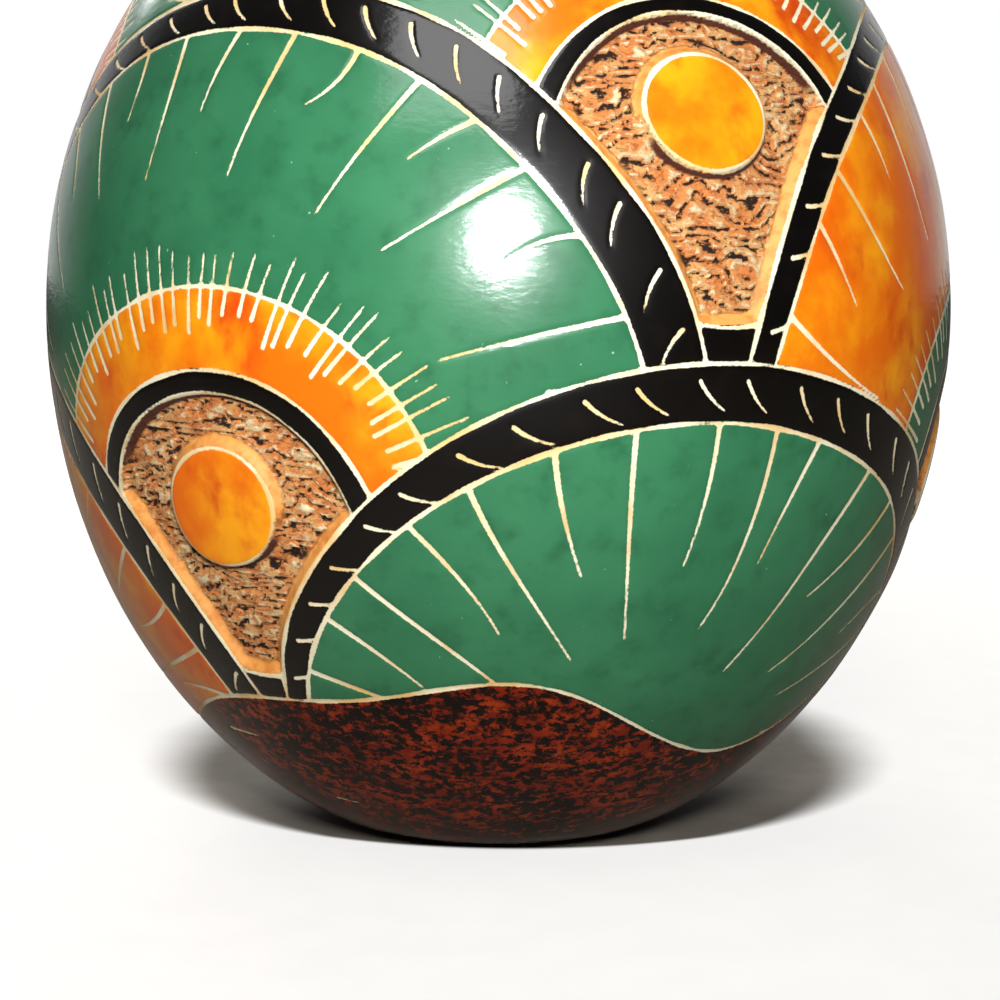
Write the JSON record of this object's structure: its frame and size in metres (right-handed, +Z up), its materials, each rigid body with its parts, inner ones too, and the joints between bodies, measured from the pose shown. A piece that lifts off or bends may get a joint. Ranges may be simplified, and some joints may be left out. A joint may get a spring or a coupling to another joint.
{
  "type": "pottery vase",
  "caption": "Round burnished earthenware vase with a small flat base, domed shoulder and short flared neck, painted with coloured slips, incised and partly carved.",
  "frame": {"origin": "centre of the flat underside, on the floor", "axes": "+Z up along the axis that the pot is turned about, -Y towards the viewer of the picture"},
  "size_m": [0.18, 0.18, 0.2178],
  "materials": {
    "painted_slips": "earthenware painted with green, black, orange and rust slips, burnished to a high gloss with no glaze, incised and carved to the bare buff clay",
    "sponged_rust_slip": "earthenware with rust slip, sponged with black and burnished to a gloss",
    "black_slip": "earthenware with black slip, burnished to a high gloss"
  },
  "bodies": {
    "root": {"base_slab": "sponged_rust_slip", "lower_bowl": "painted_slips", "upper_bowl": "painted_slips", "neck_collar": "black_slip", "lip_coil": "sponged_rust_slip"}
  },
  "joints": []
}
